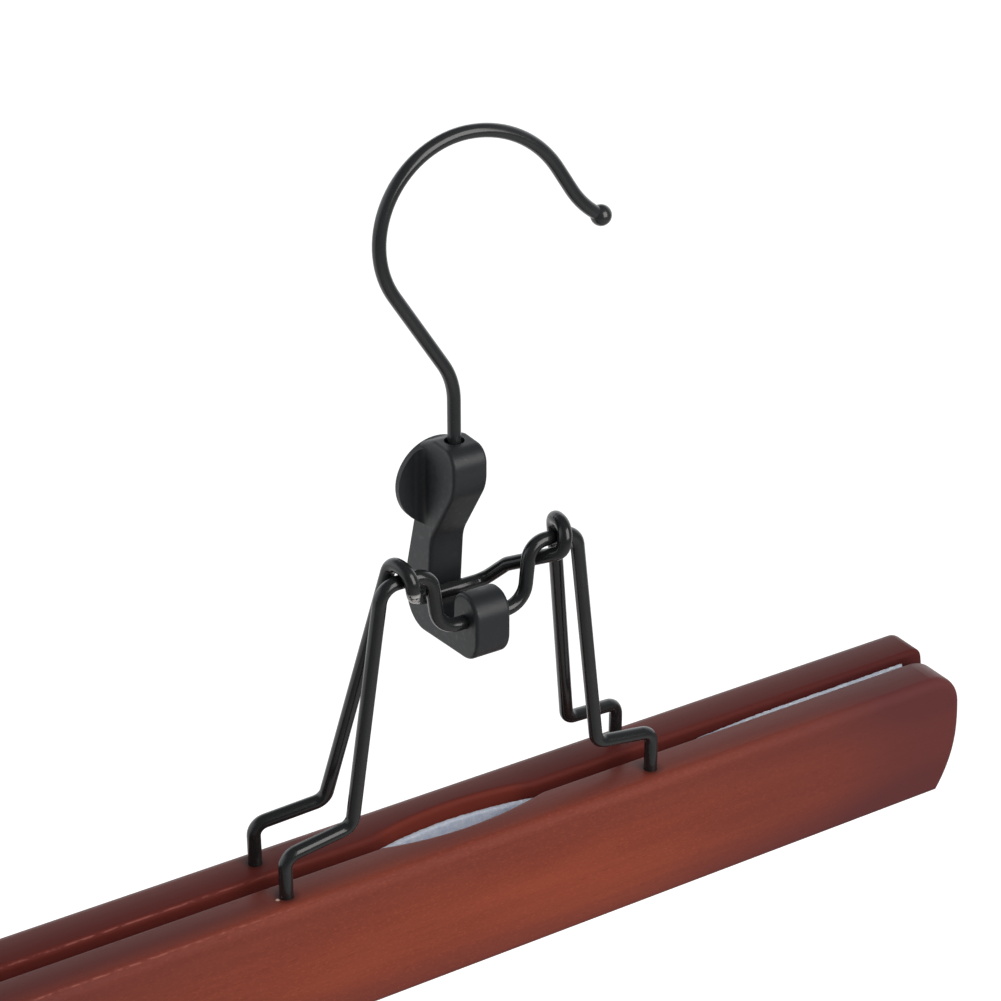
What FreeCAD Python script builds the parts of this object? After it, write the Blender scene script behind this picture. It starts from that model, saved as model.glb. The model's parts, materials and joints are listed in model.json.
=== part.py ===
"""Wooden clamp hanger: two felt-lined bars on looped wire frames, closed by a lever on a swivel hook.

The pieces are drawn in the hanger's own frame: X runs along the bars, Y from the front bar to the
back bar and Z up, with zero midway between the bars at the height of their top faces. They are then
set down so that the point where the hook rests on a rail is the origin. The lever is drawn from
its pivot. Lengths are in millimetres and angles in degrees.
"""
import FreeCAD
import Part
import math
import os
import Sketcher
from FreeCAD import Placement, Rotation, Vector

SIZES = (
    ("bar_length", 262.6),
    ("bar_height", 31.7),
    ("bar_thickness", 10.5),
    ("bar_top_inset", 1.6),
    ("bar_foot_inset", 5.2),
    ("bar_bulge_depth", 14.5),
    ("bar_edge_round", 2.4),
    ("front_corner_extra", 6.2),
    ("back_corner_extra", 0.4),
    ("bar_inner_round", 1.2),
    ("scoop_length", 40.0),
    ("scoop_depth", 2.8),
    ("felt_thickness", 1.6),
    ("felt_clearance", 0.2),
    ("felt_end_margin", 8.2),
    ("felt_top_margin", 2.4),
    ("felt_foot_margin", 3.2),
    ("wire_diameter", 3.0),
    ("socket_depth", 18.0),
    ("socket_clearance", 0.05),
    ("stub_spacing", 90.6),
    ("stub_height", 9.5),
    ("foot_spacing", 60.2),
    ("foot_rise", 2.9),
    ("foot_bend", 3.2),
    ("front_foot_lean", 0.95),
    ("back_foot_lean", 3.15),
    ("pivot_height", 53.6),
    ("pivot_offset", 9.9),
    ("pivot_clearance", 0.05),
    ("hinge_rise", 13.3),
    ("hinge_set_back", 0.3),
    ("arch_outer_spacing", 45.8),
    ("arch_inner_spacing", 23.4),
    ("arch_bend", 4.0),
    ("dip_spacing", 20.2),
    ("dip_bend", 5.0),
    ("ring_clearance", 0.45),
    ("ring_share", 0.59),
    ("ring_pitch", 1.6),
    ("ring_bend_share", 0.9),
    ("crank_spacing", 21.0),
    ("crank_reach", 4.6),
    ("crank_rise", 4.9),
    ("crank_bend", 3.0),
    ("catch_spacing", 15.6),
    ("catch_rise", 0.8),
    ("catch_clearance", 1.2),
    ("lever_width", 8.1),
    ("lever_edge_round", 0.8),
    ("nose_front", 4.75),
    ("nose_back", 4.5),
    ("nose_top", 6.1),
    ("nose_flat", 0.6),
    ("toe_depth", 8.3),
    ("toe_round", 6.0),
    ("heel_step", 6.1),
    ("heel_depth", 11.1),
    ("heel_round", 6.5),
    ("calf_step", 6.0),
    ("calf_height", 2.3),
    ("calf_round", 14.0),
    ("pocket_depth", 3.7),
    ("pocket_flat", 2.0),
    ("stem_front", 14.6),
    ("neck_front", 13.1),
    ("neck_height", 12.8),
    ("neck_round", 9.0),
    ("neck_back_step", 2.5),
    ("neck_back_height", 14.8),
    ("head_front", 3.9),
    ("head_brow_drop", 8.4),
    ("head_brow_round", 9.0),
    ("head_back_reach", 17.7),
    ("head_height", 35.5),
    ("head_round", 3.5),
    ("head_back_drop", 2.4),
    ("head_back_round", 3.0),
    ("shoulder_margin", 0.2),
    ("shoulder_round", 4.0),
    ("thumb_pad_diameter", 19.0),
    ("thumb_pad_margin", 2.0),
    ("thumb_pad_thickness", 1.4),
    ("blend_margin", 0.5),
    ("hook_diameter", 2.8),
    ("hook_clearance", 0.05),
    ("hook_offset", 10.2),
    ("hook_radius", 19.6),
    ("hook_rise", 44.4),
    ("hook_centre_offset", 3.4),
    ("hook_lean", 32.6),
    ("hook_bend", 15.4),
    ("mouth_radius", 24.5),
    ("mouth_slope", 57.1),
    ("tip_run", 6.0),
    ("tip_round", 21.9),
    ("tip_turn", 26.3),
    ("tip_ball_diameter", 4.4),
    ("recess_diameter", 4.2),
    ("recess_depth", 1.2),
    ("window_width", 5.8),
    ("window_height", 4.5),
    ("window_roof", 6.2),
    ("clip_diameter", 5.0),
    ("clip_thickness", 0.6),
    ("clip_slot", 1.8),
    ("clip_gap", 0.1),
    ("groove_diameter", 2.0),
    ("groove_clearance", 0.05),
    ("hook_end_length", 1.5),
)

doc = FreeCAD.newDocument("clamp_hanger")
sheet = doc.addObject("Spreadsheet::Sheet", "sizes")
for row, (alias, value) in enumerate(SIZES, start=1):
    sheet.set(f"A{row}", alias)
    sheet.set(f"B{row}", str(value))
    sheet.setAlias(f"B{row}", alias)
doc.recompute()


def size(text):
    """Work out one driving dimension, or an expression of several, from the sheet."""
    return float(sheet.evalExpression(text.replace("sizes.", "")))


# Lines and faces that several pieces share
INNER_FACE = "sizes.felt_clearance / 2 + sizes.felt_thickness"
SCOOP_RADIUS = "sizes.scoop_length ^ 2 / (8 * sizes.scoop_depth) + sizes.scoop_depth / 2"
SCOOP_CENTRE = f"{INNER_FACE} + sizes.scoop_depth - ({SCOOP_RADIUS})"
STUB_LINE = f"{INNER_FACE} + sizes.bar_thickness / 2"
WINDOW_ROOF = "sizes.head_height - sizes.window_roof"
WIRE_RADIUS = size("wire_diameter") / 2
HOOK_RADIUS = size("hook_diameter") / 2
PIVOT = Vector(0, -size("pivot_offset"), size("pivot_height"))
HINGE = PIVOT + Vector(0, size("hinge_set_back"), size("hinge_rise"))
SHAFT = PIVOT + Vector(0, size("hook_offset"), 0)
CROWN = SHAFT + Vector(size("hook_centre_offset"), 0, size("head_height + hook_rise"))
SEAT = CROWN + Vector(0, 0, size("hook_radius") - HOOK_RADIUS)
UPRIGHT = Rotation()
TURNED = Rotation(Vector(0, 0, 1), 180)


def set_down(piece, label, at=Vector(), facing=UPRIGHT):
    """Name a finished sub-part and move it from the hanger's frame to the rail seat's."""
    piece.Label = label
    piece.Placement = Placement(at - SEAT, facing)
    return piece


def new_sketch(body, name, role, lift="0"):
    """Start a sketch on one of the body's base planes, lifted along that plane's normal."""
    sketch = body.newObject("Sketcher::SketchObject", name)
    plane = next(plane for plane in body.Origin.OriginFeatures if plane.Role == role)
    sketch.AttachmentSupport = [(plane, "")]
    sketch.MapMode = "FlatFace"
    sketch.setExpression("AttachmentOffset.Base.z", lift)
    return sketch


def pin_point(sketch, edge, end, across, up):
    """Fix one point of a sketch edge by its two distances from the sketch's origin."""
    for kind, text in (("DistanceX", across), ("DistanceY", up)):
        number = sketch.addConstraint(Sketcher.Constraint(kind, -1, 1, edge, end, size(text)))
        sketch.setExpression(f"Constraints[{number}]", text)


def hold_radius(sketch, edge, text):
    """Fix the radius of a sketch's circle or arc."""
    number = sketch.addConstraint(Sketcher.Constraint("Radius", edge, size(text)))
    sketch.setExpression(f"Constraints[{number}]", text)


def arc_between(start, end, radius):
    """The shorter arc from one point to another, anticlockwise."""
    chord = end - start
    rise = math.sqrt(radius ** 2 - (chord.Length / 2) ** 2)
    centre = (start + end) / 2 + Vector(-chord.y, chord.x, 0).normalize() * rise
    circle = Part.Circle(centre, Vector(0, 0, 1), radius)
    return Part.ArcOfCircle(circle, circle.parameter(start), circle.parameter(end))


def draw_outline(sketch, corners):
    """Draw a closed outline anticlockwise; a corner that gives a radius starts an arc, not a line."""
    places = [Vector(size(across), size(up), 0) for across, up, radius in corners]
    following = places[1:] + places[:1]
    for start, end, (across, up, radius) in zip(places, following, corners):
        if radius:
            sketch.addGeometry(arc_between(start, end, size(radius)))
        else:
            sketch.addGeometry(Part.LineSegment(start, end))
    for edge, (across, up, radius) in enumerate(corners):
        sketch.addConstraint(Sketcher.Constraint("Coincident", edge, 2, (edge + 1) % len(corners), 1))
        pin_point(sketch, edge, 1, across, up)
        if radius:
            hold_radius(sketch, edge, radius)


def draw_circle(sketch, across, up, radius):
    """Draw a circle from its centre and radius."""
    centre = Vector(size(across), size(up), 0)
    edge = sketch.addGeometry(Part.Circle(centre, Vector(0, 0, 1), size(radius)))
    pin_point(sketch, edge, 3, across, up)
    hold_radius(sketch, edge, radius)


def pad(body, sketch, length, sides="One side", backwards=False):
    """Raise a sketch into a solid."""
    feature = body.newObject("PartDesign::Pad", f"{sketch.Name}_pad")
    feature.Profile = sketch
    feature.setExpression("Length", length)
    feature.SideType = sides
    feature.Reversed = backwards
    doc.recompute()


def cut(body, sketch, length, sides="One side", backwards=False):
    """Cut a sketch out of the body, and stop if that removes nothing."""
    before = body.Shape.Volume
    feature = body.newObject("PartDesign::Pocket", f"{sketch.Name}_cut")
    feature.Profile = sketch
    feature.setExpression("Length", length)
    feature.SideType = sides
    feature.Reversed = backwards
    doc.recompute()
    if body.Shape.Volume >= before:
        raise RuntimeError(f"{feature.Name} removes nothing")


def round_edges(body, name, radius, wanted):
    """Round each edge of the body so far that passes a test."""
    base = body.Tip
    edges = [f"Edge{number}" for number, edge in enumerate(base.Shape.Edges, start=1) if wanted(edge)]
    feature = body.newObject("PartDesign::Fillet", name)
    feature.Base = (base, edges)
    feature.setExpression("Radius", radius)
    doc.recompute()


def lies_at(edge, **place):
    """True if every point of an edge has the given coordinates."""
    near = 1e-4
    return all(
        abs(getattr(point, axis) - value) < near
        for point in edge.discretize(5)
        for axis, value in place.items()
    )


def make_bar(label, facing, corner_extra):
    """A wooden bar with bulging ends, a scooped inner face and two sockets for its wire frame.

    The top corners are rounded more than the edges, by an extra of the bar's own.
    """
    body = doc.addObject("PartDesign::Body", label)
    outline = new_sketch(body, f"{label}_outline", "XZ_Plane", f"-({INNER_FACE})")
    bulge = "sizes.bar_length / 2"
    top = f"({bulge} - sizes.bar_top_inset)"
    foot = f"({bulge} - sizes.bar_foot_inset)"
    upper = "sizes.bar_bulge_depth"
    lower = "(sizes.bar_height - sizes.bar_bulge_depth)"
    upper_radius = f"{upper} ^ 2 / (2 * sizes.bar_top_inset) + sizes.bar_top_inset / 2"
    lower_radius = f"{lower} ^ 2 / (2 * sizes.bar_foot_inset) + sizes.bar_foot_inset / 2"
    draw_outline(outline, (
        (f"-{foot}", "-sizes.bar_height", None),
        (foot, "-sizes.bar_height", lower_radius),
        (bulge, f"-{upper}", upper_radius),
        (top, "0", None),
        (f"-{top}", "0", upper_radius),
        (f"-{bulge}", f"-{upper}", lower_radius),
    ))
    pad(body, outline, "sizes.bar_thickness", backwards=True)
    end = size(top)
    round_edges(
        body, f"{label}_corners", f"sizes.bar_edge_round + {corner_extra}",
        lambda edge: lies_at(edge, x=end, z=0) or lies_at(edge, x=-end, z=0),
    )
    faces = size(INNER_FACE), size(f"{INNER_FACE} + sizes.bar_thickness")
    round_edges(
        body, f"{label}_edges", "sizes.bar_edge_round",
        lambda edge: lies_at(edge, y=faces[1]),
    )
    scoop = new_sketch(body, f"{label}_scoop", "XY_Plane")
    draw_circle(scoop, "0", SCOOP_CENTRE, SCOOP_RADIUS)
    cut(body, scoop, "sizes.bar_height")
    height = size("bar_height")
    round_edges(
        body, f"{label}_inner_edges", "sizes.bar_inner_round",
        lambda edge: lies_at(edge, y=faces[0]) or edge.Curve.TypeId == "Part::GeomCircle"
        and (lies_at(edge, z=0) or lies_at(edge, z=-height)),
    )
    sockets = new_sketch(body, f"{label}_sockets", "XY_Plane")
    for side in ("-", ""):
        draw_circle(
            sockets, f"{side}sizes.stub_spacing / 2", STUB_LINE,
            "sizes.wire_diameter / 2 + sizes.socket_clearance",
        )
    cut(body, sockets, "sizes.socket_depth + sizes.socket_clearance")
    return set_down(body, label, facing=facing)


def make_felt(label, facing):
    """A felt strip of even thickness that lines a bar's inner face and follows its scoop."""
    body = doc.addObject("PartDesign::Body", label)
    strip = new_sketch(body, f"{label}_strip", "XY_Plane", "-sizes.felt_top_margin")
    end = "(sizes.bar_length / 2 - sizes.felt_end_margin)"
    height = "sizes.bar_height - sizes.felt_top_margin - sizes.felt_foot_margin"
    scoop_end = "sizes.scoop_length / 2"
    draw_outline(strip, (
        (f"-{end}", "sizes.felt_clearance / 2", None),
        (end, "sizes.felt_clearance / 2", None),
        (end, INNER_FACE, None),
        (scoop_end, INNER_FACE, SCOOP_RADIUS),
        (f"-{scoop_end}", INNER_FACE, None),
        (f"-{end}", INNER_FACE, None),
    ))
    pad(body, strip, height, backwards=True)
    scoop = new_sketch(body, f"{label}_scoop", "XY_Plane", "-sizes.felt_top_margin")
    draw_circle(scoop, "0", SCOOP_CENTRE, f"{SCOOP_RADIUS} - sizes.felt_thickness")
    cut(body, scoop, height)
    return set_down(body, label, facing=facing)


def bend(points, radii):
    """Join points by straight runs with a tangent arc of the given radius at each corner."""
    edges = []
    start = points[0]
    for before, corner, after, radius in zip(points, points[1:], points[2:], radii):
        back = (before - corner).normalize()
        ahead = (after - corner).normalize()
        half = back.getAngle(ahead) / 2
        reach = radius / math.tan(half)
        depth = radius / math.sin(half) - radius
        first = corner + back * reach
        last = corner + ahead * reach
        deepest = corner + (back + ahead).normalize() * depth
        edges.append(Part.LineSegment(start, first).toShape())
        edges.append(Part.Arc(first, deepest, last).toShape())
        start = last
    edges.append(Part.LineSegment(start, points[-1]).toShape())
    return edges


def sweep_rod(name, edges, diameter, start):
    """Carry a round section along a path that starts straight upwards."""
    path = doc.addObject("Part::Feature", f"{name}_path")
    path.Shape = Part.Wire(edges)
    section = doc.addObject("Part::Circle", f"{name}_section")
    section.setExpression("Radius", f"{diameter} / 2")
    section.Placement = Placement(start, UPRIGHT)
    rod = doc.addObject("Part::Sweep", name)
    rod.Sections = [section]
    rod.Spine = (path, [f"Edge{number}" for number in range(1, len(edges) + 1)])
    rod.Solid = True
    doc.recompute()
    expected = math.pi * (size(diameter) / 2) ** 2 * path.Shape.Length
    if abs(rod.Shape.Volume / expected - 1) > 1e-3:
        raise RuntimeError(f"{name} has the wrong volume")
    return rod


def make_frame(label, points, radii):
    """Bend a wire frame from its right half, given from the socket to the middle, and its mirror."""
    mirrored = [Vector(-point.x, point.y, point.z) for point in reversed(points)]
    edges = bend(points + mirrored, radii + radii[::-1])
    rod = sweep_rod(label, edges, "sizes.wire_diameter", points[0])
    return set_down(rod, label)


def make_front_wire():
    """The front frame: up from the bar, over an arch at the hinge, and down through the lever."""
    stub = size("stub_spacing / 2")
    line = -size(STUB_LINE)
    foot_top = size("stub_height + foot_rise")
    return make_frame("front_wire", [
        Vector(stub, line, -size("socket_depth")),
        Vector(stub, line, size("stub_height")),
        Vector(size("foot_spacing / 2"), line - size("front_foot_lean"), foot_top),
        Vector(size("arch_outer_spacing / 2"), HINGE.y, HINGE.z),
        Vector(size("arch_inner_spacing / 2"), HINGE.y, HINGE.z),
        Vector(size("dip_spacing / 2"), PIVOT.y, PIVOT.z),
    ], [size("foot_bend")] * 2 + [size("arch_bend")] * 2 + [size("dip_bend")])


def make_back_wire():
    """The back frame: up from the bar, round the front frame's arch, and in to the lever's pocket."""
    stub = size("stub_spacing / 2")
    line = size(STUB_LINE)
    ring = 2 * WIRE_RADIUS + size("ring_clearance")
    foot = Vector(size("foot_spacing / 2"), line - size("back_foot_lean"), size("stub_height + foot_rise"))
    catch_y = PIVOT.y + size("stem_front - catch_clearance") - WIRE_RADIUS
    catch = Vector(size("catch_spacing / 2"), catch_y, PIVOT.z + size("catch_rise"))
    crank = Vector(
        size("crank_spacing / 2"), catch.y - size("crank_reach"), catch.z + size("crank_rise"),
    )

    def tangent_turn(along, across):
        """How far the ring's corner turns to or from a straight run that ends this far away."""
        return math.atan2(across, along) + math.asin(ring / math.hypot(along, across))

    leg_turn = tangent_turn(foot.y - HINGE.y, HINGE.z - foot.z)
    exit_turn = tangent_turn(HINGE.z - crank.z, crank.y - HINGE.y)
    leg_corner = ring * math.tan(leg_turn / 2)
    exit_corner = ring * math.tan(exit_turn / 2)
    middle = size("arch_inner_spacing + ring_share * (arch_outer_spacing - arch_inner_spacing)") / 2
    drift = size("ring_pitch / 2")
    return make_frame("back_wire", [
        Vector(stub, line, -size("socket_depth")),
        Vector(stub, line, size("stub_height")),
        foot,
        Vector(middle + drift, HINGE.y + leg_corner, HINGE.z + ring),
        Vector(middle, HINGE.y - ring, HINGE.z + ring),
        Vector(middle - drift, HINGE.y - ring, HINGE.z - exit_corner),
        crank,
        catch,
    ], [size("foot_bend")] * 2 + [size("ring_bend_share") * ring] * 3 + [size("crank_bend")] * 2)


def make_lever():
    """The moulded lever: a nose on the front frame, a pocket for the back one, and a head."""
    body = doc.addObject("PartDesign::Body", "lever")
    side_view = new_sketch(body, "lever_side", "YZ_Plane")
    back = "sizes.head_back_reach"
    shoulder = "sizes.hook_offset + sizes.recess_diameter / 2 + sizes.shoulder_margin"
    pocket_round = "(sizes.stem_front - sizes.nose_back - sizes.pocket_flat) / 2"
    nose_round = "(sizes.nose_front + sizes.nose_back - sizes.nose_flat) / 2"
    corners = (
        ("-sizes.nose_front", "-sizes.toe_depth", "sizes.toe_round"),
        (f"{back} + sizes.heel_step", "-sizes.heel_depth", "sizes.heel_round"),
        (f"{back} + sizes.calf_step", "sizes.calf_height", "sizes.calf_round"),
        (f"{back} + sizes.neck_back_step", "sizes.neck_back_height", None),
        (back, "sizes.head_height - sizes.head_back_drop", "sizes.head_back_round"),
        (shoulder, "sizes.head_height", "sizes.shoulder_round"),
        ("sizes.head_front", "sizes.head_height", "sizes.head_round"),
        ("sizes.head_front", "sizes.head_height - sizes.head_brow_drop", "sizes.head_brow_round"),
        ("sizes.neck_front", "sizes.neck_height", "sizes.neck_round"),
        ("sizes.stem_front", "-sizes.pocket_depth", pocket_round),
        ("sizes.nose_back", "-sizes.pocket_depth", pocket_round),
        ("sizes.nose_back", "sizes.nose_top", nose_round),
        ("-sizes.nose_front", "sizes.nose_top", nose_round),
    )
    draw_outline(side_view, [(across, up, None) for across, up, rounding in corners])
    pad(body, side_view, "sizes.lever_width", sides="Symmetric")
    for number, (across, up, rounding) in enumerate(corners):
        if rounding:
            place = {"y": size(across), "z": size(up)}
            round_edges(
                body, f"lever_round_{number}", rounding,
                lambda edge: lies_at(edge, **place),
            )
    flank = size("lever_width / 2")
    round_edges(
        body, "lever_edges", "sizes.lever_edge_round",
        lambda edge: lies_at(edge, x=flank) or lies_at(edge, x=-flank),
    )
    thumb_pad = new_sketch(body, "lever_thumb_pad", "XZ_Plane", f"-{back}")
    pad_radius = "sizes.thumb_pad_diameter / 2"
    draw_circle(thumb_pad, "0", f"sizes.head_height - sizes.thumb_pad_margin - {pad_radius}", pad_radius)
    pad(body, thumb_pad, "sizes.thumb_pad_thickness")
    pad_face = f"{back} - sizes.thumb_pad_thickness"
    joint = size(pad_face)
    round_edges(
        body, "lever_thumb_pad_blend",
        f"{pad_face} - sizes.neck_front - sizes.lever_edge_round - sizes.blend_margin",
        lambda edge: lies_at(edge, x=flank, y=joint) or lies_at(edge, x=-flank, y=joint),
    )
    bore = new_sketch(body, "lever_bore", "YZ_Plane")
    draw_circle(bore, "0", "0", "sizes.wire_diameter / 2 + sizes.pivot_clearance")
    cut(body, bore, "2 * sizes.lever_width", sides="Symmetric")
    window = new_sketch(body, "lever_window", "XZ_Plane", f"-({back} + sizes.neck_back_step)")
    half = "sizes.window_width / 2"
    sill = f"{WINDOW_ROOF} - sizes.window_height"
    draw_outline(window, (
        (f"-{half}", sill, None),
        (half, sill, None),
        (half, WINDOW_ROOF, None),
        (f"-{half}", WINDOW_ROOF, None),
    ))
    behind_shaft = f"{back} + sizes.neck_back_step - sizes.hook_offset"
    window_depth = f"{behind_shaft} + sizes.clip_diameter / 2 + sizes.clip_gap"
    cut(body, window, window_depth, backwards=True)
    for name, radius, depth in (
        ("lever_shaft_hole", "sizes.hook_diameter / 2 + sizes.hook_clearance", "sizes.window_roof"),
        ("lever_recess", "sizes.recess_diameter / 2", "sizes.recess_depth"),
    ):
        hole = new_sketch(body, name, "XY_Plane", "sizes.head_height")
        draw_circle(hole, "0", "sizes.hook_offset", radius)
        cut(body, hole, depth)
    return set_down(body, "lever", at=PIVOT)


CLIP_TOP = PIVOT.z + size(WINDOW_ROOF) - size("clip_gap")
GROOVE_FOOT = CLIP_TOP - size("clip_thickness + groove_clearance")


def cylinder(name, radius, height, foot):
    """An upright cylinder on the hook's shaft line."""
    piece = doc.addObject("Part::Cylinder", name)
    piece.setExpression("Radius", radius)
    piece.setExpression("Height", height)
    piece.Placement = Placement(Vector(SHAFT.x, SHAFT.y, foot), UPRIGHT)
    return piece


def subtract(name, base, tool):
    """Cut one piece from another."""
    piece = doc.addObject("Part::Cut", name)
    piece.Base = base
    piece.Tool = tool
    return piece


def make_hook():
    """The hook: a straight shaft, a leaning run, the crown's two arcs and a flared tip with a ball."""
    radius = size("hook_radius")
    lean = math.radians(size("hook_lean"))
    slope = math.radians(size("mouth_slope"))
    flare = math.radians(size("mouth_slope - tip_turn"))
    foot = Vector(SHAFT.x, SHAFT.y, GROOVE_FOOT - size("hook_end_length"))
    run_end = CROWN - Vector(math.cos(lean), 0, math.sin(lean)) * radius
    knee = run_end + Vector(math.sin(lean), 0, -math.cos(lean)) * ((SHAFT.x - run_end.x) / math.sin(lean))
    top = CROWN + Vector(0, 0, radius)
    mouth_centre = top - Vector(0, 0, size("mouth_radius"))

    def on_mouth(angle):
        """A point of the crown's wider arc, from the top to the mouth, at the given slope."""
        return mouth_centre + Vector(math.sin(angle), 0, math.cos(angle)) * size("mouth_radius")

    crown_end = on_mouth(slope)
    tip_start = crown_end + Vector(math.cos(slope), 0, -math.sin(slope)) * size("tip_run")
    flare_centre = tip_start + Vector(math.sin(slope), 0, math.cos(slope)) * size("tip_round")

    def on_flare(angle):
        """A point of the tip's outward curve, at the given slope."""
        return flare_centre - Vector(math.sin(angle), 0, math.cos(angle)) * size("tip_round")

    tip = on_flare(flare)
    edges = bend([foot, knee, run_end], [size("hook_bend")])
    edges.append(Part.Arc(run_end, CROWN - Vector(radius, 0, 0), top).toShape())
    edges.append(Part.Arc(top, on_mouth(slope / 2), crown_end).toShape())
    edges.append(Part.LineSegment(crown_end, tip_start).toShape())
    edges.append(Part.Arc(tip_start, on_flare((slope + flare) / 2), tip).toShape())
    rod = sweep_rod("hook_rod", edges, "sizes.hook_diameter", foot)
    ball = doc.addObject("Part::Sphere", "hook_ball")
    ball.setExpression("Radius", "sizes.tip_ball_diameter / 2")
    ball.Placement = Placement(tip, UPRIGHT)
    whole = doc.addObject("Part::Fuse", "hook_blank")
    whole.Base = rod
    whole.Tool = ball
    groove_height = "sizes.clip_thickness + 2 * sizes.groove_clearance"
    collar = cylinder("groove_collar", "sizes.hook_diameter", groove_height, GROOVE_FOOT)
    core = cylinder("groove_core", "sizes.groove_diameter / 2", groove_height, GROOVE_FOOT)
    hook = subtract("hook", whole, subtract("groove", collar, core))
    return set_down(hook, "hook")


def make_clip():
    """The slotted clip that keeps the hook's shaft in the lever."""
    foot = CLIP_TOP - size("clip_thickness")
    disc = cylinder("clip_disc", "sizes.clip_diameter / 2", "sizes.clip_thickness", foot)
    eye = cylinder(
        "clip_eye", "sizes.groove_diameter / 2 + sizes.groove_clearance", "sizes.clip_thickness", foot,
    )
    slot = doc.addObject("Part::Box", "clip_slot_box")
    slot.setExpression("Length", "sizes.clip_slot")
    slot.setExpression("Width", "sizes.clip_diameter")
    slot.setExpression("Height", "sizes.clip_thickness")
    slot.Placement = Placement(Vector(SHAFT.x - size("clip_slot / 2"), SHAFT.y, foot), UPRIGHT)
    clip = subtract("retaining_clip", subtract("clip_ring", disc, eye), slot)
    return set_down(clip, "retaining_clip")


pieces = [
    make_bar("front_bar", TURNED, "sizes.front_corner_extra"),
    make_bar("back_bar", UPRIGHT, "sizes.back_corner_extra"),
    make_felt("front_felt", TURNED),
    make_felt("back_felt", UPRIGHT),
    make_front_wire(),
    make_back_wire(),
    make_lever(),
    make_hook(),
    make_clip(),
]
doc.recompute()

failed = [item.Name for item in doc.Objects if {"Invalid", "Error"} & set(item.State)]
if failed:
    raise RuntimeError(f"these objects failed: {failed}")
for piece in pieces:
    if piece.Shape.isNull() or not piece.Shape.isValid() or len(piece.Shape.Solids) != 1:
        raise RuntimeError(f"{piece.Label} is not one sound solid")

os.makedirs("parts", exist_ok=True)
for piece in pieces:
    piece.Shape.exportStep(f"parts/{piece.Label}.step")
    print(piece.Label, round(piece.Shape.Volume, 1), "cubic mm")
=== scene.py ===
"""Looks for the clamp hanger: stained bars, a felt lining, black wire and a moulded lever, in soft light.

Everything is in metres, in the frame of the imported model: X along the bars, Y from the front bar to the
back bar and Z up, with the origin where the hook rests on its rail. Colours are linear RGBA.
"""
import json
import math

import bpy
import numpy as np
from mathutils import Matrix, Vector


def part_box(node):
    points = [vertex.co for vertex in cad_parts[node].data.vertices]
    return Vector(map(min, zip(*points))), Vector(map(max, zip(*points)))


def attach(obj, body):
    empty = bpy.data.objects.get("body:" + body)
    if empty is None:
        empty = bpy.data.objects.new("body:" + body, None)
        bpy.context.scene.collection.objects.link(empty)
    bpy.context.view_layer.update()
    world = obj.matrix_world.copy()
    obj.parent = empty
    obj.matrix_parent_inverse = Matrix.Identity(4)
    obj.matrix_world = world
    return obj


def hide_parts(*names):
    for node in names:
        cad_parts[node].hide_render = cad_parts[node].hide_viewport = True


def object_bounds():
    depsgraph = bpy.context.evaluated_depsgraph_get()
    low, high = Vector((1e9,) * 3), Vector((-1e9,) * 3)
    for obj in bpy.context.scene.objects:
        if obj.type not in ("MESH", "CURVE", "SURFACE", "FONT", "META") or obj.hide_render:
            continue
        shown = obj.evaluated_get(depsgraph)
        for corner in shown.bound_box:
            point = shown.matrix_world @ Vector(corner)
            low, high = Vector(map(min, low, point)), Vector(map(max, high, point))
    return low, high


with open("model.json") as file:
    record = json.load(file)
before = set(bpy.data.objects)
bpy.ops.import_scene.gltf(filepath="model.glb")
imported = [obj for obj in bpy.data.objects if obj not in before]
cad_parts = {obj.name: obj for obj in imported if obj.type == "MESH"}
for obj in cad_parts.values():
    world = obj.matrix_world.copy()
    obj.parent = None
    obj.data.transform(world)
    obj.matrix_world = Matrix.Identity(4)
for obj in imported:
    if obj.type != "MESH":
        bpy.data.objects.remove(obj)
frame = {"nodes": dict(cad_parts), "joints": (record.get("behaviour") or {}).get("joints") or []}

CAD_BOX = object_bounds()
MM = 0.001
BLACK = (0, 0, 0, 1)
WHITE = (1, 1, 1, 1)
scene = bpy.context.scene
nodes = frame["nodes"]
hinge = next(Vector(joint["pos_m"]) for joint in frame["joints"] if joint["name"] == "jaw_hinge")

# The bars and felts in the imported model
FRONT_LOW, FRONT_HIGH = (Vector(corner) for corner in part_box("front_bar"))
BACK_LOW, BACK_HIGH = (Vector(corner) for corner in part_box("back_bar"))
FELT_LOW, FELT_HIGH = (Vector(corner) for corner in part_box("back_felt"))
SEAM = (FRONT_HIGH.y + BACK_LOW.y) / 2
MIDDLE = (BACK_LOW.x + BACK_HIGH.x) / 2
BAR_TOP = BACK_HIGH.z
HALF_GAP = (BACK_LOW.y - FRONT_HIGH.y) / 2
BAR_REACH = BACK_HIGH.y - SEAM
BAR_CENTRE = (HALF_GAP + BAR_REACH) / 2
SCOOP_HALF = 20.0 * MM
SCOOP_DEPTH = 2.8 * MM
SOCKET_REACH = 45.3 * MM
SOCKET_LINE = 6.95 * MM

# Where the photograph was taken from
CAMERA_PLACE = (-0.25315, -0.41718, 0.17477)
CAMERA_AZIMUTH = math.radians(-31.995)
CAMERA_ELEVATION = math.radians(27.298)
CAMERA_LENS = 97.49
SENSOR_WIDTH = 36.0


def set_camera():
    """Put a level camera where the photograph was taken, looking along its azimuth and elevation."""
    backwards = Vector((
        math.sin(CAMERA_AZIMUTH) * math.cos(CAMERA_ELEVATION),
        -math.cos(CAMERA_AZIMUTH) * math.cos(CAMERA_ELEVATION),
        math.sin(CAMERA_ELEVATION),
    ))
    lens = bpy.data.cameras.new("photo_view")
    lens.sensor_width = SENSOR_WIDTH
    lens.lens = CAMERA_LENS
    lens.clip_start = 0.01
    camera = bpy.data.objects.new("photo_view", lens)
    scene.collection.objects.link(camera)
    camera.location = CAMERA_PLACE
    camera.rotation_mode = "QUATERNION"
    camera.rotation_quaternion = (-backwards).to_track_quat("-Z", "Y")
    scene.camera = camera


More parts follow.
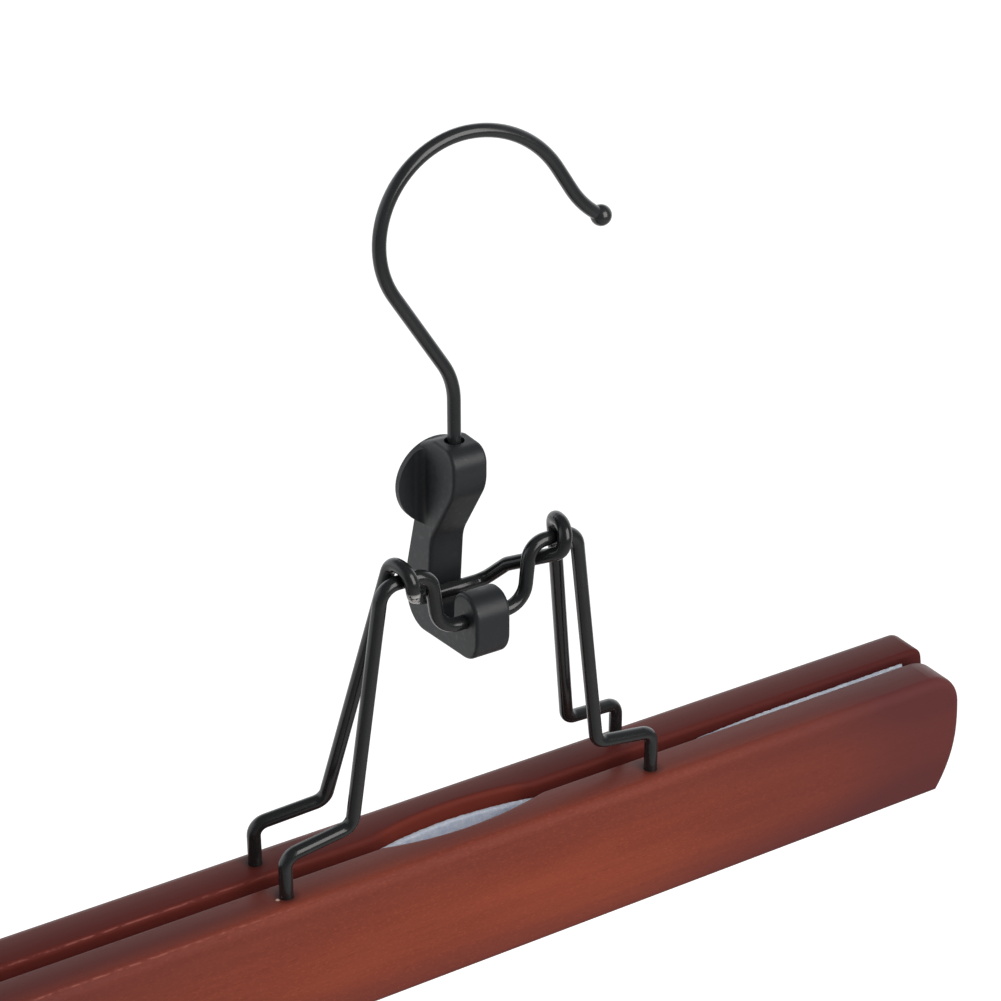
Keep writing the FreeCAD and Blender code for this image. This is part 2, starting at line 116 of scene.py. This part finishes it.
class Value:
    """A socket of a node tree; arithmetic on it adds Math nodes."""

    def __init__(self, tree, socket):
        self.tree = tree
        self.socket = socket

    def other(self, name):
        """Another output of the same node."""
        return Value(self.tree, self.socket.node.outputs[name])

    def __add__(self, term):
        return self.tree.sum_up("ADD", self, term)

    def __radd__(self, term):
        return self.tree.sum_up("ADD", term, self)

    def __sub__(self, term):
        return self.tree.sum_up("SUBTRACT", self, term)

    def __rsub__(self, term):
        return self.tree.sum_up("SUBTRACT", term, self)

    def __mul__(self, factor):
        return self.tree.sum_up("MULTIPLY", self, factor)

    def __rmul__(self, factor):
        return self.tree.sum_up("MULTIPLY", factor, self)

    def __truediv__(self, divisor):
        return self.tree.sum_up("DIVIDE", self, divisor)

    def __pow__(self, power):
        return self.tree.sum_up("POWER", self, power)

    def __abs__(self):
        return self.tree.sum_up("ABSOLUTE", self)


class NodeTree:
    """A node tree in the making."""

    def __init__(self, owner):
        owner.use_nodes = True
        self.tree = owner.node_tree

    def node(self, kind, settings, sockets, output=0):
        """Add a node: its settings are set first, then its sockets get their values or links."""
        made = self.tree.nodes.new(kind)
        for name, value in settings.items():
            setattr(made, name, value)
        for name, value in sockets.items():
            self.feed(made.inputs[name], value)
        return Value(self, made.outputs[output])

    def feed(self, socket, value):
        """Link a socket, or set its value."""
        if isinstance(value, Value):
            self.tree.links.new(value.socket, socket)
        else:
            socket.default_value = value

    def sum_up(self, operation, *terms):
        """One Math node."""
        return self.node("ShaderNodeMath", {"operation": operation}, dict(enumerate(terms)))

    def rise(self, value, low, high):
        """0 below low, 1 above high and a smooth rise between them."""
        return self.node(
            "ShaderNodeMapRange", {"interpolation_type": "SMOOTHSTEP"},
            {"Value": value, "From Min": low, "From Max": high},
        )

    def past(self, length, low, high):
        """A rise over a length, between two limits in millimetres."""
        return self.rise(length, low * MM, high * MM)

    def within(self, length, low, high):
        """The fall that matches past: 1 below low and 0 above high, both in millimetres."""
        return 1 - self.past(length, low, high)

    def most(self, first, second):
        """The larger of two values."""
        return self.sum_up("MAXIMUM", first, second)

    def distance(self, first, second):
        """The length of the hypotenuse on two sides."""
        return self.sum_up("SQRT", first ** 2 + second ** 2)

    def between(self, share, first, second):
        """A colour part of the way from one to another."""
        return self.node("ShaderNodeMix", {"data_type": "RGBA"}, {0: share, 6: first, 7: second}, 2)


class Finish(NodeTree):
    """A material: its coordinates, its noises and its shader."""

    def __init__(self, name):
        self.material = bpy.data.materials.new(name)
        super().__init__(self.material)
        self.shader = self.tree.nodes["Principled BSDF"]
        self.coordinates = self.node("ShaderNodeTexCoord", {}, {}, "Object")

    def place(self):
        """The three coordinates of the surface, in metres."""
        x = self.node("ShaderNodeSeparateXYZ", {}, {"Vector": self.coordinates})
        return x, x.other("Y"), x.other("Z")

    def cloud(self, lumps, detail):
        """Noise about 0.5, with lumps of these three lengths in millimetres."""
        scale = tuple(1 / (size * MM) for size in lumps)
        scaled = self.node("ShaderNodeMapping", {}, {"Vector": self.coordinates, "Scale": scale})
        return self.node("ShaderNodeTexNoise", {}, {"Vector": scaled, "Scale": 1.0, "Detail": detail})

    def even_cloud(self, size, detail):
        """Noise about 0.5, with lumps that are as long every way."""
        return self.cloud((size, size, size), detail)

    def wear(self, **sockets):
        """Set the shader's sockets, whose names are given with _ for a space."""
        for name, value in sockets.items():
            self.feed(self.shader.inputs[name.replace("_", " ")], value)

    def relief(self, height, strength, depth):
        """Bump the surface: depth is the height, in millimetres, that a value of 1 stands for."""
        sockets = {"Height": height, "Strength": strength, "Distance": depth * MM}
        self.feed(self.shader.inputs["Normal"], self.node("ShaderNodeBump", {}, sockets, "Normal"))


class BarWood(Finish):
    """Red-brown stain under satin lacquer with painted shade, shadows and highlights, and where a point
    of it lies on its bar.
    """

    # The stain, from the body of the wood to its marks, with the painted shade, shadows and highlights
    # among them
    STAIN = (0.250, 0.052, 0.030, 1), (0.315, 0.067, 0.034, 1)
    STREAK = (0.165, 0.031, 0.020, 1)
    PORE = (0.10, 0.018, 0.012, 1)
    SPECK = (0.46, 0.105, 0.052, 1)
    # Painted shade that the face darkens to towards its ends, under its top edge and at its foot
    END_SHADE = (0.125, 0.034, 0.033, 1)
    SHADED_TOP = (0.090, 0.018, 0.016, 1)
    # Painted shade on the groove's walls, and a lighter painted shade on the scoop's wall
    GROOVE_SHADE = (0.120, 0.018, 0.013, 1), (0.080, 0.013, 0.012, 1)
    SCOOP_SHADE = (0.17, 0.027, 0.015, 1)
    # Pale lines on the top edges, partly wear and partly a painted highlight
    EDGE_WEAR_AND_HIGHLIGHT = (0.37, 0.120, 0.092, 1)
    LIP_WEAR_AND_HIGHLIGHT = (0.26, 0.070, 0.056, 1)
    # Painted shadow round the wires' sockets
    SOCKET_SHADOW = (0.045, 0.012, 0.009, 1)
    BARE = (0.52, 0.38, 0.33, 1)

    # The middle of the pale line of wear and painted highlight on the outer edge, the radius of the top's
    # crown in millimetres, the height of the grain in millimetres, and the place of the chip from the
    # middle of the seam
    EDGE_SHIFT = 0.9 * MM
    CROWN_RADIUS = 33.0
    GRAIN_HEIGHT = 0.005
    CHIP_ALONG = -47.5 * MM
    CHIP_ACROSS = -7.2 * MM

    def __init__(self):
        super().__init__("stained_wood")
        x, y, z = self.place()
        self.along = x - MIDDLE
        self.from_seam = y - SEAM
        self.across = abs(self.from_seam)
        self.scoop = self.most(1 - (self.along / SCOOP_HALF) ** 2, 0.0) * SCOOP_DEPTH
        self.below_top = BAR_TOP - z
        self.from_outer = BAR_REACH - self.across
        self.from_inner = self.across - HALF_GAP - self.scoop

        self.clouds = self.cloud((60, 16, 16), 2.0)
        self.specks = self.cloud((0.8, 0.4, 0.4), 2.0)
        self.grain = self.rise(self.cloud((34, 1.3, 1.3), 3.0), 0.30, 0.72)
        self.pore = self.rise(self.cloud((3.2, 0.32, 0.32), 1.0), 0.60, 0.74)

        self.to_left = self.within(self.along, -72, -26)
        self.to_right = self.past(self.along, 20, 125)
        self.at_top = self.within(self.below_top, 0.2, 1.3)
        self.inside = self.within(self.from_inner, 0.3, 1.2)

    def grained(self):
        """The stain on a plain face: clouds, streaks, pores and specks."""
        stain = self.between(self.rise(self.clouds, 0.25, 0.75), *self.STAIN)
        stain = self.between(self.grain * 0.22, stain, self.STREAK)
        stain = self.between(self.pore * 0.22, stain, self.PORE)
        return self.between(self.rise(self.specks, 0.52, 0.72) * 0.30, stain, self.SPECK)

    def end_shaded(self, stain):
        """Painted shade: darker towards the ends, under the top edge and at the foot."""
        to_end = self.most(self.to_right, 0.7 * self.past(-1 * self.along, 20, 130))
        at_tip = self.past(self.along, 88, 120)
        to_brow = self.within(self.below_top, 2, 13)
        to_foot = self.past(self.below_top, 20, 32)
        darker = to_end * 0.60 + at_tip * 0.28 + to_brow * 0.25 + to_foot * 0.50
        return self.between(darker, stain, self.END_SHADE)

    def shaded(self, stain):
        """Darker tops, the back bar's more than the front bar's."""
        at_back = self.past(self.from_seam, -1, 1)
        inwards = self.past(self.from_outer, 0.5, 6)
        front_shade = (0.6 + 0.25 * self.to_left) * inwards
        back_shade = 0.68 + 0.22 * inwards
        shade = self.at_top * (at_back * back_shade + (1 - at_back) * front_shade)
        return self.between(shade, stain, self.SHADED_TOP)

    def groove_shaded(self, stain):
        """Painted shade on the walls of the groove between the bars, lighter and redder in the scoop."""
        lining = self.between(self.to_right, *self.GROOVE_SHADE)
        lining = self.between(self.past(self.scoop, 0.2, 1.2) * 0.7, lining, self.SCOOP_SHADE)
        return self.between(self.inside * 0.9, stain, lining)

    def worn_and_highlit(self, stain):
        """Patchy pale lines on the left half's top edges: partly wear from rubbing, partly a painted
        highlight.
        """
        patch_mask = self.rise(self.cloud((2.4, 0.7, 0.7), 3.0), 0.40, 0.60) * self.to_left
        edge = abs(self.from_outer - self.below_top - self.EDGE_SHIFT)
        edge = self.within(edge, 0.1, 0.45) * self.within(self.below_top, 1.2, 1.8)
        stain = self.between(edge * patch_mask * 0.65, stain, self.EDGE_WEAR_AND_HIGHLIGHT)
        lip = abs(self.from_inner - self.below_top)
        lip = self.within(lip, 0.1, 0.4) * self.within(self.below_top, 0.6, 1.0)
        return self.between(lip * patch_mask, stain, self.LIP_WEAR_AND_HIGHLIGHT)

    def socket_shadows_and_chip(self, stain):
        """Painted shadows round the wires' sockets, and a chip of bare wood beside one of them."""
        socket = self.distance(abs(self.along) - SOCKET_REACH, self.across - SOCKET_LINE)
        stain = self.between(self.within(socket, 1.5, 3.4) * self.at_top * 0.6, stain, self.SOCKET_SHADOW)
        chip = self.distance(self.along - self.CHIP_ALONG, self.from_seam - self.CHIP_ACROSS)
        chip = chip + 0.5 * MM * (self.specks - 0.5)
        return self.between(self.within(chip, 0.22, 0.52) * self.at_top, stain, self.BARE)

    def dressed(self):
        """The whole finish, with a slightly crowned top that is rougher on its rounds."""
        stain = self.grained()
        for step in (self.end_shaded, self.shaded, self.groove_shaded, self.worn_and_highlit, self.socket_shadows_and_chip):
            stain = step(stain)
        rounded = self.most(self.inside, self.within(self.from_outer, 0.8, 2.0))
        self.wear(
            Base_Color=stain,
            Roughness=0.28 + 0.10 * self.clouds + 0.15 * self.pore + 0.3 * rounded,
            Specular_IOR_Level=0.15,
        )
        crown = ((self.across - BAR_CENTRE) / MM) ** 2 / (2 * self.CROWN_RADIUS)
        figure = self.grain * 0.35 + self.pore * 0.65
        self.relief(figure * self.GRAIN_HEIGHT - crown, 1.0, 1.0)
        return self.material


def pressed_felt():
    """Pale bluish felt: matted fibres a few tenths of a millimetre across, with painted shade that makes
    it darker and bluer in the hollows.
    """
    felt = Finish("pressed_felt")
    mat = felt.even_cloud(1.6, 4.0)
    fibres = felt.even_cloud(0.22, 3.0)
    # The tufts raise the relief and lighten the colour, so the colour carries painted shade in the
    # hollows
    tufts = felt.rise(mat * 0.5 + fibres * 0.5, 0.35, 0.65)
    felt.wear(
        Base_Color=felt.between(tufts, (0.60, 0.68, 0.84, 1), (0.82, 0.88, 0.98, 1)),
        Roughness=0.9 + 0.1 * fibres,
        Sheen_Weight=0.35,
        Sheen_Roughness=0.5,
        Specular_IOR_Level=0.2,
    )
    felt.relief(tufts, 0.8, 0.18)
    return felt.material


# The pale patch on the front of the back wire's left loop: its middle along X and Z, its half width in
# millimetres, and the Y behind which there is no patch
PATCH_X = MIDDLE - 19.2 * MM
PATCH_Z = hinge.z - 2.7 * MM
PATCH_WIDTH = 3.0
PATCH_BACK = hinge.y - 1.5 * MM


def black_paint(name, shade, loop_patch=False):
    """Black paint on steel: slight orange peel, dust in the paint, and a pale grey, partly metallic patch
    at a loop.
    """
    paint = Finish(name)
    peel = paint.even_cloud(0.9, 2.0)
    haze = paint.even_cloud(9, 3.0)
    dust = paint.rise(paint.even_cloud(0.35, 1.0), 0.68, 0.80)
    darker = (shade, 1.08 * shade, 1.12 * shade, 1)
    pale = (1.7 * shade, 1.8 * shade, 1.9 * shade, 1)
    colour = paint.between(haze, darker, pale)
    colour = paint.between(dust * 0.2, colour, (0.04, 0.042, 0.045, 1))
    roughness = 0.15 + 0.10 * haze + 0.2 * dust
    paint.wear(IOR=1.5, Coat_Weight=0.15 + 0.1 * haze, Coat_Roughness=0.08)
    if loop_patch:
        x, y, z = paint.place()
        near = paint.within(abs(x - PATCH_X), 0.6 * PATCH_WIDTH, PATCH_WIDTH)
        level = paint.within(abs(z - PATCH_Z), 1.2, 2.0)
        ahead = paint.within(y - PATCH_BACK, 0, 1.5)
        # A pale grey, partly metallic patch painted at the front of the loop's bottom
        patch_mask = near * level * ahead * paint.rise(paint.even_cloud(0.9, 3.0), 0.36, 0.50)
        colour = paint.between(patch_mask, colour, (0.60, 0.60, 0.58, 1))
        roughness = roughness + patch_mask * 0.20
        paint.wear(Metallic=patch_mask * 0.4)
    paint.wear(Base_Color=colour, Roughness=roughness)
    paint.relief(peel, 0.10, 0.03)
    return paint.material


def moulded_plastic():
    """Matte black moulding: a fine spark-eroded texture with scuffs that are a little smoother."""
    plastic = Finish("moulded_plastic")
    erosion = plastic.even_cloud(0.28, 2.0)
    scuffs = plastic.rise(plastic.even_cloud(1.3, 4.0), 0.52, 0.72)
    bloom = plastic.even_cloud(12, 2.0)
    colour = plastic.between(bloom, (0.0115, 0.0138, 0.0160, 1), (0.0165, 0.0192, 0.0220, 1))
    plastic.wear(
        Base_Color=plastic.between(scuffs * 0.18, colour, (0.030, 0.034, 0.039, 1)),
        Roughness=0.44 - 0.12 * scuffs + 0.08 * erosion,
        IOR=1.5,
    )
    plastic.relief(erosion, 0.25, 0.05)
    return plastic.material


def spring_steel():
    """Rolled steel: fine streaks along X on a grey metal."""
    steel = Finish("spring_steel")
    rolled = steel.cloud((2.0, 0.08, 0.08), 2.0)
    steel.wear(
        Base_Color=steel.between(rolled, (0.40, 0.40, 0.41, 1), (0.60, 0.60, 0.61, 1)),
        Metallic=1.0,
        Roughness=0.28 + 0.18 * rolled,
    )
    return steel.material


# A felt strip: its thickness, the height of its half-round edges, how far it sinks into its glue, how
# far its faces and its edges are roughened, and the counts of its mesh
FELT_THICK = 1.5 * MM
FELT_CAP = 0.5 * MM
FELT_GLUED = 0.05 * MM
FELT_INSET = 0.06 * MM
FELT_FUZZ = 0.05 * MM
FELT_WAVE = 0.10 * MM
FELT_COLUMNS = 620
FACE_ROWS = 9
CAP_ROWS = 7


def matted(rows, columns, seed):
    """Smooth noise from -1 to 1 on a grid: seeded random numbers, averaged with their neighbours."""
    rough = np.random.default_rng(seed).uniform(-1, 1, (rows, columns))
    near = sum(np.roll(rough, step, axis) for axis in (0, 1) for step in (-1, 1))
    return (2 * rough + near) / 6


def felt_strip(name, body, node, facing, top_edge, seed, finish):
    """A felt strip that lines a bar's inner face.

    A closed profile is carried along the bar: up the glued face, over a half-round top edge, down the
    clamping face and under a half-round foot. Its middle line follows the scoop, whose depth is a
    parabola of the distance from the middle. The top edge's height is a function of that distance,
    and seeded noise roughens the whole surface as matted fibres do.
    """
    low, high = FELT_LOW, FELT_HIGH
    columns = FELT_COLUMNS
    face = np.linspace(0, 1, FACE_ROWS)
    turn = np.linspace(0, math.pi, CAP_ROWS + 2)[1:-1]
    side, level = np.ones(FACE_ROWS), np.zeros(FACE_ROWS)
    sideways = np.concatenate([side, np.cos(turn), -side, -np.cos(turn)])
    upwards = np.concatenate([face, np.ones(CAP_ROWS), face[::-1], np.zeros(CAP_ROWS)])
    rounding = np.concatenate([level, np.sin(turn), level, -np.sin(turn)])
    rows = len(sideways)

    along = np.linspace(low.x, high.x, columns) - MIDDLE
    scoop = np.maximum(1 - (along / SCOOP_HALF) ** 2, 0) * SCOOP_DEPTH
    fuzz = matted(rows, columns, seed) * FELT_FUZZ
    wave = matted(1, columns, seed + 1)[0] * FELT_WAVE
    foot = low.z + FELT_CAP + matted(1, columns, seed + 2)[0] * FELT_WAVE
    top = BAR_TOP - top_edge(along) - FELT_CAP + wave
    end = np.minimum(1, np.sqrt(np.minimum(along - along[0], along[-1] - along) / MM + 0.15))
    centre = HALF_GAP + scoop - FELT_GLUED - FELT_THICK / 2
    depth = centre + sideways[:, None] * (FELT_THICK / 2 - FELT_INSET) * end + fuzz
    height = foot + upwards[:, None] * (top - foot) + rounding[:, None] * FELT_CAP + fuzz
    points = np.stack([
        np.broadcast_to(along + MIDDLE, depth.shape),
        SEAM + facing * depth,
        height,
    ], axis=-1).reshape(-1, 3)

    row, column = np.meshgrid(np.arange(rows), np.arange(columns - 1), indexing="ij")
    below = (row + 1) % rows
    quads = np.stack([
        row * columns + column, row * columns + column + 1,
        below * columns + column + 1, below * columns + column,
    ], axis=-1).reshape(-1, 4)
    ends = [np.arange(rows) * columns, np.arange(rows)[::-1] * columns + columns - 1]
    faces = quads.tolist() + [end_face.tolist() for end_face in ends]
    if facing < 0:
        faces = [corners[::-1] for corners in faces]

    mesh = bpy.data.meshes.new(name)
    mesh.from_pydata(points.tolist(), [], faces)
    mesh.polygons.foreach_set("use_smooth", np.ones(len(mesh.polygons), dtype=bool))
    mesh.materials.append(finish)
    strip = bpy.data.objects.new(name, mesh)
    scene.collection.objects.link(strip)
    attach(strip, body)
    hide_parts(node)
    flat = (high.x - low.x, float(np.mean(top - foot)) + 2 * FELT_CAP)


def even_edge(along):
    """How far below the bar's top the front felt's top edge lies."""
    return (3.3 + 0.15 * np.sin(along / 0.017)) * MM


def risen_edge(along):
    """The back felt's top edge: low along the bar, lowest in the scoop, and higher to the right."""
    mid = np.exp(-(along / 0.0165) ** 4)
    right = np.clip((along - 0.060) / 0.036, 0, 1)
    return (3.3 + 0.12 * np.sin(along / 0.013) + 0.3 * mid - 1.45 * right * (2 - right)) * MM


LAMP_AIM = Vector((0.0, 0.0, -0.12))
LAMP_COLOUR = (1.0, 0.975, 0.96)


def hang_lamp(name, offset, sides, power):
    """A broad rectangular lamp that points at the object from an offset."""
    lamp = bpy.data.lights.new(name, "AREA")
    lamp.shape = "RECTANGLE"
    lamp.size, lamp.size_y = sides
    lamp.energy = power
    lamp.color = LAMP_COLOUR
    holder = bpy.data.objects.new(name, lamp)
    scene.collection.objects.link(holder)
    holder.location = LAMP_AIM + offset
    holder.rotation_mode = "QUATERNION"
    holder.rotation_quaternion = (-offset).to_track_quat("-Z", "Y")
    return holder


def light_studio():
    """Soft light: a world that is bright behind the object and dim in front, and two broad lamps.

    The front lamp shows as the sheen on the wood and wire. The top lamp lights the felt and the groove,
    and isn't mirrored.
    """
    world = bpy.data.worlds.new("studio")
    scene.world = world
    sky = NodeTree(world)
    direction = sky.node("ShaderNodeTexCoord", {}, {}, "Generated")
    across = sky.node("ShaderNodeSeparateXYZ", {}, {"Vector": direction}, "Y")
    seen = sky.node("ShaderNodeLightPath", {}, {}, "Is Camera Ray")
    behind = sky.rise(across, -0.5, 0.6)
    overhead = sky.rise(across.other("Z"), 0.35, 0.75)
    strength = seen + (1 - seen) * (0.10 + 1.10 * behind * (1 - 0.95 * overhead))
    background = sky.tree.nodes["Background"]
    sky.feed(background.inputs["Strength"], strength)
    sky.feed(background.inputs["Color"], sky.between(seen, (0.95, 0.98, 1.0, 1), WHITE))

    hang_lamp("front_lamp", Vector((0.34, -1.00, 0.44)), (0.85, 1.0), 10.2)
    soft = hang_lamp("top_lamp", Vector((0.10, -0.50, 0.95)), (0.7, 0.6), 4.2)
    soft.visible_glossy = False
    scene.view_settings.view_transform = "Standard"


FLOOR_HALF = 8.0
FLOOR_DROP = 0.5


def lay_floor():
    """A plain pale floor, well below the hanging object."""
    pale = Finish("pale_floor")
    y = pale.place()[1]
    seen = pale.node("ShaderNodeLightPath", {}, {}, "Is Camera Ray")
    glow = seen * 0.9 + (1 - seen) * 0.6 * pale.rise(y, -0.3, 0.5)
    pale.wear(
        Base_Color=(0.5, 0.5, 0.5, 1),
        Roughness=0.9,
        Specular_IOR_Level=0.1,
        Emission_Color=pale.between(glow, BLACK, WHITE),
        Emission_Strength=1.0,
    )
    half = FLOOR_HALF
    level = CAD_BOX[0].z - FLOOR_DROP
    mesh = bpy.data.meshes.new("floor")
    corners = [(-half, -half, level), (half, -half, level), (half, half, level), (-half, half, level)]
    mesh.from_pydata(corners, [], [(0, 1, 2, 3)])
    mesh.materials.append(pale.material)
    floor = bpy.data.objects.new("floor", mesh)
    scene.collection.objects.link(floor)


def paint_node(name, material):
    """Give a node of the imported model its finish."""
    slots = nodes[name].data.materials
    slots.clear()
    slots.append(material)


# How pale the black paint is
FRAME_SHADE = 0.010
HOOK_SHADE = 0.016

set_camera()
light_studio()
lay_floor()

wood = BarWood().dressed()
paint_node("front_bar", wood)
paint_node("back_bar", wood)
paint_node("front_wire", black_paint("frame_paint", FRAME_SHADE))
paint_node("back_wire", black_paint("looped_paint", FRAME_SHADE, loop_patch=True))
paint_node("hook", black_paint("hook_paint", HOOK_SHADE))
paint_node("lever", moulded_plastic())
paint_node("retaining_clip", spring_steel())

felt = pressed_felt()
felt_strip("front_lining", "front_jaw", "front_felt", -1, even_edge, 11, felt)
felt_strip("back_lining", "back_jaw", "back_felt", 1, risen_edge, 23, felt)
